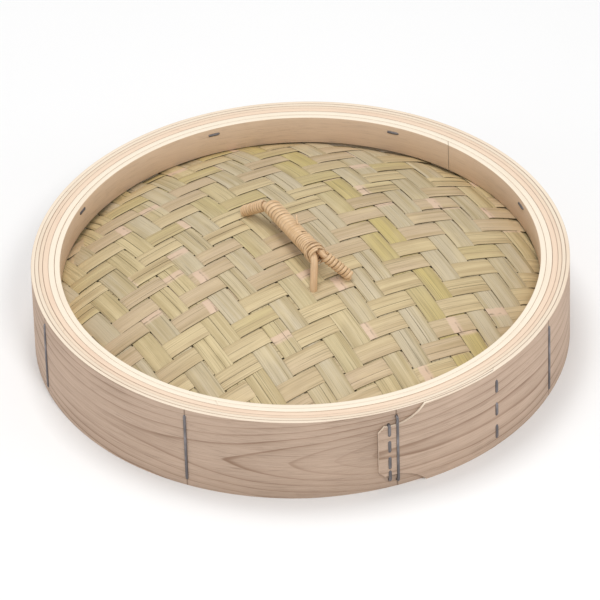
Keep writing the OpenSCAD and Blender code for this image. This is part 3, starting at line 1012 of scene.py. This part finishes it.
@dataclass
class WovenMat:
    """A two-over, two-under twill of flat strips, laid on the dome."""

    name: str
    dome: Dome
    origin: tuple[float, float] = (-57.4 * MM, -50.0 * MM)
    steep_a: float = -61.2
    shallow_a: float = 28.6
    steep_step: float = 16.9 * MM
    shallow_step: float = 17.36 * MM
    slack: float = 0.75 * MM
    thick: float = 0.62 * MM
    swing: float = 0.37 * MM
    sink: float = 0.8 * MM
    reach: float = 192 * MM
    seed: int = 5
    crossing: float = 0.17
    most: int = 40
    split_share: float = 0.30
    split_gap: float = 0.012
    sag_from: float = 170 * MM
    sag_over: float = 18 * MM

    def over(self, i: int, j: int) -> bool:
        """Whether the shallow strip j lies over the steep strip i."""
        return (i - j) % 4 in (0, 3)

    def weave(self, q: np.ndarray, top: Callable[[int], bool]) -> np.ndarray:
        """Height of a strip between -1 and 1.

        Args:
            q: Place along the strip, counted in crossings.
            top: Whether the strip is on top at a crossing.

        Returns:
            The height at each place.
        """
        cell = np.floor(q).astype(int)
        part = q - cell
        span = range(int(cell.min()) - 1, int(cell.max()) + 2)
        sign = {c: (1.0 if top(c) else -1.0) for c in span}
        here, back, fore = (np.array([sign[c + d] for c in cell]) for d in (0, -1, 1))
        w = self.crossing

        def ease(t: np.ndarray) -> np.ndarray:
            """Smooth step from 0 to 1."""
            t = np.clip(t, 0, 1)
            return t * t * (3 - 2 * t)

        left, right = 1 - ease((part + w) / (2 * w)), ease((part - 1 + w) / (2 * w))
        return here * (1 - left - right) + back * left + fore * right

    def strips(self, steep: bool, finish: Finish, node: str) -> None:
        """Builds all the strips of one direction as one piece.

        Args:
            steep: True for the steep strips, False for the shallow ones.
            finish: Their finish.
            node: The node that they stand for.
        """
        rng = random.Random(self.seed + steep)
        u_steep, u_shallow = (np.array([math.cos(a), math.sin(a)])
                              for a in (math.radians(self.steep_a), math.radians(self.shallow_a)))
        step_i, step_j = u_shallow * self.steep_step, -u_steep * self.shallow_step
        origin = np.array(self.origin)
        width = (self.steep_step if steep else self.shallow_step) - self.slack
        base = Stock(2.0, width, self.thick, 144, 4, 0.07 * MM).cut("strip_blank")
        run_u = u_steep if steep else u_shallow
        side_u = np.array([-run_u[1], run_u[0]])
        made = []
        for n in range(-self.most, self.most + 1):
            middle = origin + (step_i * (n - 0.5) if steep else step_j * (n + 0.5))
            offset = float(middle @ side_u)
            if abs(offset) > self.reach - 2 * MM:
                continue
            own = rng.random()
            shift = rng.uniform(-0.35, 0.35) * MM
            narrow = rng.uniform(0.955, 1.015)
            split = rng.uniform(0.2, 0.8) if rng.random() < self.split_share else 0.0
            wander, tilt = rng.uniform(0, 9), rng.uniform(0.08, 0.24) * MM * (1 if steep else -1)
            lean = math.radians(rng.uniform(-0.22, 0.22))

            for part in ((0.0, split), (split, 1.0)) if split else ((0.0, 1.0),):
                lift = rng.uniform(-0.09, 0.09) * MM if split else 0.0
                share, centre = part[1] - part[0], (part[0] + part[1] - 1.0) / 2

                def trim(p: np.ndarray) -> np.ndarray:
                    """Cuts the strip to its width and, at its ends, to the round edge.

                    Args:
                        p: Rows of straight points.

                    Returns:
                        Rows of trimmed straight points.
                    """
                    q = p.copy()
                    room = share - (self.split_gap if split else 0.0)
                    q[:, 1] = (p[:, 1] * room + centre * width) * narrow
                    side = np.clip(offset + q[:, 1], -self.reach + 0.1 * MM, self.reach - 0.1 * MM)
                    q[:, 0] = (p[:, 0] - 1.0) * np.sqrt(self.reach ** 2 - side ** 2)
                    return q

                def place(p: np.ndarray) -> np.ndarray:
                    """Lays the strip on the dome, over and under the others.

                    Args:
                        p: Rows of straight points.

                    Returns:
                        Rows of places on the lid.
                    """
                    x = p[:, 0]
                    y = offset + shift + p[:, 1] + lean * x + wave(x * 22.0, wander, 0.22 * MM, 2)
                    flat = x[:, None] * run_u + y[:, None] * side_u
                    spot = flat - origin
                    if steep:
                        high = self.weave((spot @ step_j) / self.shallow_step ** 2, lambda j: not self.over(n, j))
                    else:
                        high = self.weave((spot @ step_i) / self.steep_step ** 2, lambda i: self.over(i + 1, n))
                    across = 2 * p[:, 1] / width
                    up = high * self.swing - self.sink + p[:, 2] - 0.07 * MM * across ** 2 + tilt * across + lift
                    up = up + wave(x * 60.0, wander + 3, 0.04 * MM, 2)
                    r = np.hypot(flat[:, 0], flat[:, 1])
                    edge = np.clip((r - self.sag_from) / self.sag_over, 0, 1) ** 2
                    sag = 1.0 + 1.6 * np.sin(5.0 * np.arctan2(flat[:, 1], flat[:, 0]) + wander * 0.3)
                    up = up - edge * np.maximum(sag, 0.0) * MM
                    return self.dome.at(flat[:, 0], flat[:, 1], up)

                strip = copy_of(base, f"{self.name}_{n}")
                bend(strip, place, trim, own)
                made.append(strip)
        bpy.data.objects.remove(base)
        kind = "steep" if steep else "shallow"
        present(join(made, f"{self.name}_{kind}_strips"), finish, node, angle=50.0)


# ---- wire ----


@dataclass
class WireWork:
    """The wall's staples and the two rows of stitches."""

    hoop: Hoop
    wire: float = 2.0 * MM
    sink: float = 0.8 * MM
    first: float = -70.7
    low: float = 6.2 * MM
    high: float = 67.3 * MM
    flush: float = 202.45 * MM
    clinch_r: float = 187.1 * MM
    clinch: float = 9.0 * MM
    staples: int = 8
    staple_full: float = 1.15
    stitch_full: float = 1.35
    lap_a: float = -46.0
    tongue_a: float = -72.5
    lap_dashes: Sequence[tuple[float, float]] = ((0.11, 0.27), (0.41, 0.56), (0.71, 0.86))
    tongue_dashes: Sequence[tuple[float, float]] = ((0.11, 0.24), (0.27, 0.42), (0.49, 0.63), (0.70, 0.83))

    def crown_r(self, angle: float) -> float:
        """Radius of the wire's axis where it lies on the wall."""
        skin = float(self.hoop.lap_r(np.array([angle]), self.hoop.rise, self.hoop.bump_half, 1)[0])
        return max(self.hoop.radius, skin) + self.wire / 2 - self.sink

    def bent(self, name: str, angle: float, corners: Sequence[Sequence[float]], full: float) -> bpy.types.Object:
        """Bends one wire in the upright plane at an angle.

        Args:
            name: The object's name.
            angle: Angle about the hoop's axis, in degrees.
            corners: Radius, sideways distance and height of each corner.
            full: Drawn thickness over the nominal one.

        Returns:
            The bent wire.
        """
        route = Route(rounded(corners, 2.2 * MM, 8))
        piece = Stock(route.length, self.wire * full, 0.0, 324, 12, 0.25 * MM).cut(name)
        bend(piece, lambda p: turned(route.place(p), angle))
        return piece

    def build(self) -> None:
        """Bends and sets all the wires."""
        rng = random.Random(11)
        staples = []
        for n in range(self.staples):
            a = self.first + 360.0 / self.staples * n
            r = self.crown_r(a)
            lean = rng.uniform(-0.35, 0.35) * MM
            corners = [(self.flush, self.clinch, self.low), (self.flush, 0, self.low), (r, 0, self.low),
                       (r + 0.1 * MM, lean, (self.low + self.high) / 2), (r, 0, self.high),
                       (self.clinch_r, 0, self.high), (self.clinch_r, self.clinch, self.high + lean)]
            staples.append(self.bent(f"staple_{n}", a, corners, self.staple_full))
        present(join(staples, "bent_staples"), Finish.WIRE, "wall_staples")
        for name, a, dashes, node in (("lap_wire", self.lap_a, self.lap_dashes, "lap_stitch"),
                                      ("tongue_wire", self.tongue_a, self.tongue_dashes, "tongue_stitch")):
            r = self.crown_r(a)
            corners = []
            for start, end in dashes:
                low, high = start * self.hoop.height, end * self.hoop.height
                corners += [(self.flush, 0, low), (r, 0, low), (r, 0, high), (self.flush, 0, high)]
            present(self.bent(name, a, corners, self.stitch_full), Finish.WIRE, node)


# ---- handle ----


@dataclass
class Handle:
    """Two canes bundled with a filler into a grip, splayed into four legs, and wrapped with split rattan."""

    dome: Dome
    turn: float = -62.3
    shift: tuple[float, float] = (5.5 * MM, -7.8 * MM)
    grip_z: float = 105 * MM
    grip_l: float = 77.4 * MM
    cane: float = 5.7 * MM
    gap: float = 0.1 * MM
    knee_h: float = 3 * MM
    tail_l: float = 18 * MM
    batten_w: float = 14 * MM
    batten_t: float = 5 * MM
    lash_t: float = 0.8 * MM
    cover: float = 4.35 * MM
    near_out: float = 12.8 * MM
    far_out: Sequence[float] = (23.5 * MM, 12.5 * MM)
    near_side: Sequence[float] = (-11.4 * MM, 19.4 * MM)
    far_side: Sequence[float] = (-10.1 * MM, 11.8 * MM)
    batten_past: float = 3 * MM
    turn_steps: int = 28

    def __post_init__(self) -> None:
        """Works out the four feet: near left, near right, far left and far right."""
        half = self.grip_l / 2
        flat = [[(half + self.near_out, y) for y in self.near_side],
                [(-half - x, y) for x, y in zip(self.far_out, self.far_side)]]
        self.ball = np.array([-self.shift[0], -self.shift[1], self.dome.crown - self.dome.radius])
        self.feet = [[self.on_dome(*xy) for xy in pair] for pair in flat]

    def on_dome(self, x: float, y: float) -> np.ndarray:
        """Place on the dome, in the handle's own frame."""
        z = math.sqrt(self.dome.radius ** 2 - (x - self.ball[0]) ** 2 - (y - self.ball[1]) ** 2)
        return np.array([x, y, self.ball[2] + z])

    def world(self, p: np.ndarray) -> np.ndarray:
        """Takes the handle's own frame to the lid's."""
        return turned(p + np.array([*self.shift, 0.0]), self.turn)

    def normal(self, end: int) -> np.ndarray:
        """Direction out of the dome between a pair of feet."""
        return unit((self.feet[end][0] + self.feet[end][1]) / 2 - self.ball)

    def along(self, end: int) -> np.ndarray:
        """Direction from the left foot to the right foot."""
        return unit(self.feet[end][1] - self.feet[end][0])

    def half_span(self, end: int) -> float:
        """Half of the distance between a pair of feet."""
        return float(np.linalg.norm(self.feet[end][1] - self.feet[end][0]) / 2)

    def batten_half(self, end: int) -> float:
        """Half of a batten's length."""
        return self.half_span(end) + self.tail_l + self.cane / 2 + self.batten_past

    def batten_top(self, end: int) -> float:
        """Depth of a batten's upper face below the feet."""
        fall = self.batten_half(end) ** 2 + (self.batten_w / 2) ** 2 - self.half_span(end) ** 2
        return self.cover + fall / (2 * (self.dome.radius - 4.2 * MM)) + self.lash_t + 2 * self.gap

    def grip_end(self, end: int, side: int) -> np.ndarray:
        """Where a cane leaves the grip."""
        return np.array([(-1) ** end * self.grip_l / 2, -(-1) ** side * (self.cane + self.gap) / 2,
                         self.grip_z + self.cane / 2 / math.sqrt(3)])

    def knee(self, end: int, side: int) -> np.ndarray:
        """Where a leg turns down into the mat."""
        return self.feet[end][side] + self.knee_h * self.normal(end)

    def leg_path(self, end: int, side: int) -> list[np.ndarray]:
        """Corners of a leg from the grip to the end of its hidden tail.

        Args:
            end: 0 for the near end, 1 for the far end.
            side: 0 for the left cane, 1 for the right cane.

        Returns:
            The corners, in order.
        """
        depth = self.batten_top(end) + self.batten_t + self.gap + self.cane / 2
        turn = self.feet[end][side] - depth * self.normal(end)
        return [self.grip_end(end, side), self.knee(end, side), turn,
                turn - (-1) ** side * self.tail_l * self.along(end)]

    def canes(self) -> None:
        """Builds the two bent canes and the straight filler."""
        for side, name in ((0, "left"), (1, "right")):
            corners = self.leg_path(1, side)[::-1] + self.leg_path(0, side)
            route = Route(self.world(rounded(corners, 7 * MM, 12)))
            piece = Stock(route.length, self.cane, 0.0, 400, 20, 0.5 * MM).cut(f"{name}_cane_bent")
            swell = side * 2.0

            def trim(p: np.ndarray) -> np.ndarray:
                """Lets the cane swell slightly at its joints.

                Args:
                    p: Rows of straight points.

                Returns:
                    Rows of trimmed straight points.
                """
                q = p.copy()
                q[:, 1:] *= (1 + 0.03 * np.sin(p[:, 0] * 95.0 + swell) ** 8)[:, None]
                return q

            bend(piece, route.place, trim, 0.3 + 0.4 * side)
            present(piece, Finish.CANE, f"{name}_handle_cane")
        z = self.grip_z - self.cane / math.sqrt(3) - self.gap
        half = self.grip_l / 2 - self.cane / 2
        route = Route(self.world(np.array([[x, 0.0, z] for x in np.linspace(-half, half, 30)])))
        piece = Stock(route.length, self.cane, 0.0, 25, 20, 0.5 * MM).cut("filler_cane_straight")
        bend(piece, route.place)
        present(piece, Finish.CANE, "grip_filler_cane")

    def coil(self, name: str, start: np.ndarray, end: np.ndarray, radius: tuple[float, float],
             pitch: tuple[float, float], strand: tuple[float, float], seed: float,
             lobes: float = 0.0) -> bpy.types.Object:
        """Winds a strand round a straight core.

        Args:
            name: The object's name.
            start: Where the winding starts on the core's axis.
            end: Where it ends.
            radius: Radius of the strand's middle at the start and at the end.
            pitch: Advance for each turn at the start and at the end.
            strand: The strand's width and thickness.
            seed: Picks its unevenness.
            lobes: How much the section follows the three canes.

        Returns:
            The winding.
        """
        axis = unit(end - start)
        length = float(np.linalg.norm(end - start))
        side = unit(np.cross(np.array([0.0, 0.0, 1.0]), axis))
        top = np.cross(axis, side)
        s, turns, x, angle = [], [], 0.0, 0.0
        while x < length:
            s.append(x)
            turns.append(angle)
            share = x / length
            step = pitch[0] + (pitch[1] - pitch[0]) * share
            x += step / self.turn_steps
            angle += 2 * math.pi / self.turn_steps
        s, turns = np.array(s), np.array(turns)
        r = radius[0] + (radius[1] - radius[0]) * s / length + wave(turns, seed, 0.05 * MM, 2)
        r = r - lobes * (0.5 + 0.5 * np.cos(3 * turns))
        s = s + wave(turns * 0.37, seed, 0.12 * MM, 2)
        out = np.cos(turns)[:, None] * top + np.sin(turns)[:, None] * side
        rows = start + s[:, None] * axis + r[:, None] * out
        route = Route(self.world(rows), turned(out, self.turn))
        piece = Stock(route.length, strand[0], strand[1], len(s), 4, 0.12 * MM).cut(name)

        def trim(p: np.ndarray) -> np.ndarray:
            """Gives the strand its rounded back.

            Args:
                p: Rows of straight points.

            Returns:
                Rows of trimmed straight points.
            """
            q = p.copy()
            q[:, 2] += strand[1] * 0.9 * (1 - (2 * p[:, 1] / strand[0]) ** 2) * (p[:, 2] > 0) - strand[1] * 0.3
            q[:, 1] *= 1 + 0.05 * np.sin(p[:, 0] * 180.0 + seed)
            return q

        bend(piece, route.place, trim, seed % 1.0)
        return piece

    def wrappings(self) -> None:
        """Winds the grip and two of the legs."""
        half = self.grip_l / 2
        low = np.array([half - 0.6 * MM, 0.0, self.grip_z])
        cut = np.array([half - 26 * MM, 0.0, self.grip_z])
        high = np.array([-half + 0.6 * MM, 0.0, self.grip_z])
        ridged = self.coil("grip_near_coil", low, cut, (6.5 * MM, 6.45 * MM), (2.3 * MM, 2.5 * MM),
                           (2.35 * MM, 0.7 * MM), 0.7, 0.25 * MM)
        smooth = self.coil("grip_far_coil", cut, high, (6.45 * MM, 6.45 * MM), (2.9 * MM, 4.6 * MM),
                           (3.9 * MM, 0.55 * MM), 2.9, 0.25 * MM)
        present(join([ridged, smooth], "grip_coils"), Finish.WRAP, "grip_wrapping", angle=60.0)
        for end, side, node, pitch, size in ((1, 0, "far_leg_wrapping", 3.1, 1.5),
                                             (0, 1, "near_leg_wrapping", 3.3, 1.25)):
            top, foot = self.grip_end(end, side), self.knee(end, side)
            way = unit(foot - top)
            coil = self.coil(node + "_coil", top + way * 3.0 * MM, foot + way * 0.5 * MM, (3.75 * MM, 3.5 * MM),
                             (pitch * MM, pitch * 0.92 * MM), ((pitch - 0.3) * MM, size * 0.7 * MM), 1.3 + end)
            present(coil, Finish.WRAP, node, angle=60.0)

    def bindings(self) -> None:
        """Ties the strands that cross over the near end of the grip, and leaves one end loose."""
        parts = []
        centre = np.array([self.grip_l / 2 - 6.9 * MM, 0.0, self.grip_z])
        for tilt, radius, seed in ((-14.0, 7.6, 0.2), (14.0, 7.65, 0.6), (-34.0, 7.85, 0.9)):
            t = np.linspace(0, 2 * math.pi, 80)
            c, s = math.cos(math.radians(tilt)), math.sin(math.radians(tilt))
            ring = np.stack([np.cos(t) * s, np.sin(t), np.cos(t) * c], axis=1)
            rows = centre + ring * radius * MM + np.array([(3.5 if seed > 0.8 else 0.0) * MM, 0, 0])
            route = Route(self.world(rows), turned(ring, self.turn))
            piece = Stock(route.length, 2.0 * MM, 0.9 * MM, 81, 3, 0.15 * MM).cut(f"binding_{len(parts)}")
            bend(piece, route.place, None, seed)
            parts.append(piece)
        root = np.array([2.0 * MM, 2.5 * MM, self.grip_z + 6.6 * MM])
        tip = [root, root + np.array([-2.5, 0.8, 1.4]) * MM, root + np.array([-5.5, 2.2, 4.6]) * MM]
        route = Route(self.world(rounded(tip, 2.5 * MM)))
        loose = Stock(route.length, 1.1 * MM, 0.35 * MM, 25, 1, 0.1 * MM).cut("loose_end")
        bend(loose, route.place, None, 0.4)
        parts.append(loose)
        present(join(parts, "crossed_bindings"), Finish.WRAP, "end_binding", angle=60.0)

    def battens(self) -> None:
        """Builds the battens under the mats and the strips that tie the canes to them."""
        for end, word in ((0, "near"), (1, "far")):
            z, x = self.normal(end), self.along(end)
            y = np.cross(z, x)
            middle = (self.feet[end][0] + self.feet[end][1]) / 2
            frame_rows = np.stack([x, y, z])
            top = self.batten_top(end)
            half = self.batten_half(end)
            piece = Stock(2 * half, self.batten_w, self.batten_t, 49, 4, 0.7 * MM).cut(f"{word}_batten_split")

            def place(p: np.ndarray) -> np.ndarray:
                """Sets the batten under the mats, its back slightly rounded.

                Args:
                    p: Rows of straight points.

                Returns:
                    Rows of places on the lid.
                """
                q = p - np.array([half, 0.0, 0.0])
                q[:, 2] += -top - self.batten_t / 2 - 0.5 * MM * (2 * p[:, 1] / self.batten_w) ** 2 * (p[:, 2] > 0)
                return self.world(middle + q @ frame_rows)

            bend(piece, place, None, 0.2 + 0.5 * end)
            present(piece, Finish.BATTEN, f"{word}_batten")
            low, depth = top + self.batten_t, top + self.batten_t + self.gap + self.cane
            w, c = self.batten_w / 2 + 0.5 * MM, self.cane / 2 + 0.4 * MM
            outline = [(0, -top + 0.5 * MM), (w, -top + 0.5 * MM), (w, -low), (c, -depth - 0.5 * MM),
                       (-c, -depth - 0.5 * MM), (-w, -low), (-w, -top + 0.5 * MM), (-0.0002, -top + 0.5 * MM)]
            parts = []
            for side in (-1, 1):
                for turn in (-1, 1):
                    at = side * (self.half_span(end) + self.tail_l / 2) + turn * 1.5 * MM
                    rows = rounded([(at + 0.25 * MM * math.sin(3 * k), a, b) for k, (a, b) in enumerate(outline)],
                                   1.6 * MM, 8)
                    ups = unit(np.stack([0 * rows[:, 0], rows[:, 1], rows[:, 2] + (low + top) / 2], axis=1))
                    route = Route(self.world(middle + rows @ frame_rows), turned(ups @ frame_rows, self.turn))
                    strip = Stock(route.length, 2.8 * MM, 0.7 * MM, 144, 3, 0.15 * MM).cut(f"{word}_lash")
                    bend(strip, route.place, None, 0.5 + 0.2 * side + 0.1 * turn)
                    parts.append(strip)
            present(join(parts, f"{word}_lashing_strips"), Finish.WRAP,
                    f"{word}_batten_lashings", angle=60.0)

    def build(self) -> None:
        """Builds the whole handle."""
        self.canes()
        self.wrappings()
        self.bindings()
        self.battens()


# ---- studio ----


@dataclass
class Studio:
    """Floor, lights and camera."""

    look_down: float = 36.9415
    away: float = 5138.26 * MM
    lens: float = 394.08
    across: float = 1.1265 * MM
    above: float = 4.4234 * MM
    middle_z: float = 36.535 * MM
    roll: float = -1.6974
    air: float = 0.46

    def camera(self) -> None:
        """Adds the camera."""
        e = math.radians(self.look_down)
        ahead = Vector((0.0, math.cos(e), -math.sin(e)))
        up = Vector((0.0, math.sin(e), math.cos(e)))
        right = Vector((1.0, 0.0, 0.0))
        middle = Vector((0.0, 0.0, self.middle_z))
        place = middle - right * self.across - up * self.above - ahead * self.away
        turn = Matrix((right, up, -ahead)).transposed() @ Matrix.Rotation(math.radians(self.roll), 3, "Z")
        clear_selection()
        bpy.ops.object.camera_add(location=place, rotation=turn.to_euler())
        camera = bpy.context.active_object
        camera.name = "camera"
        camera.data.sensor_width = 36.0
        camera.data.lens = self.lens
        camera.data.clip_end = 50.0
        bpy.context.scene.camera = camera

    def light(self, name: str, place: tuple[float, float, float], size: float, power: float) -> None:
        """Adds a square soft light that faces the lid.

        Args:
            name: The light's name.
            place: Where it stands.
            size: Length of its side.
            power: Its power in watts.
        """
        aim = (Vector((0.0, 0.0, 0.05)) - Vector(place)).to_track_quat("-Z", "Y").to_euler()
        clear_selection()
        bpy.ops.object.light_add(type="AREA", location=place, rotation=aim)
        lamp = bpy.context.active_object
        lamp.name = name
        lamp.data.size = size
        lamp.data.energy = power

    def build(self) -> None:
        """Sets up the studio."""
        clear_selection()
        bpy.ops.mesh.primitive_plane_add(size=30.0, location=(0.0, 0.0, 0.0))
        floor = bpy.context.active_object
        floor.name = "studio_floor"
        floor.data.materials.append(finish_of(Finish.FLOOR))
        self.camera()
        for name, place, size, power in (("key", (-0.25, 0.45, 2.3), 0.9, 21.0),
                                         ("front", (0.55, -1.7, 2.1), 0.6, 21.0),
                                         ("left", (-2.6, -0.9, 0.7), 1.6, 15.0),
                                         ("right", (2.6, -0.9, 0.7), 1.6, 14.0)):
            self.light(f"{name}_light", place, size, power)
        world = bpy.data.worlds.new("studio_air")
        world.use_nodes = True
        glow = world.node_tree.nodes["Background"].inputs
        glow[0].default_value = (1.0, 1.0, 1.0, 1.0)
        glow[1].default_value = self.air
        bpy.context.scene.world = world
        bpy.context.scene.view_settings.view_transform = "Standard"


def main() -> None:
    """Builds the studio and every part of the lid."""
    logging.basicConfig(level=logging.INFO, format="%(name)s %(message)s")
    Studio().build()
    hoop = Hoop()
    hoop.build()
    dome = Dome()
    cover = WovenMat("cover", dome)
    cover.strips(True, Finish.STEEP, "woven_cover")
    cover.strips(False, Finish.SHALLOW, "woven_cover")
    lining = WovenMat("lining", dome, origin=(-40 * MM, -61 * MM), steep_step=24.0 * MM, shallow_step=24.0 * MM,
                      slack=1.2 * MM, thick=0.6 * MM, swing=0.34 * MM, sink=3.35 * MM, reach=191 * MM, seed=21)
    for steep in (True, False):
        lining.strips(steep, Finish.LINING, "lining_mat")
    WireWork(hoop).build()
    Handle(dome).build()


if __name__ == "__main__":
    main()
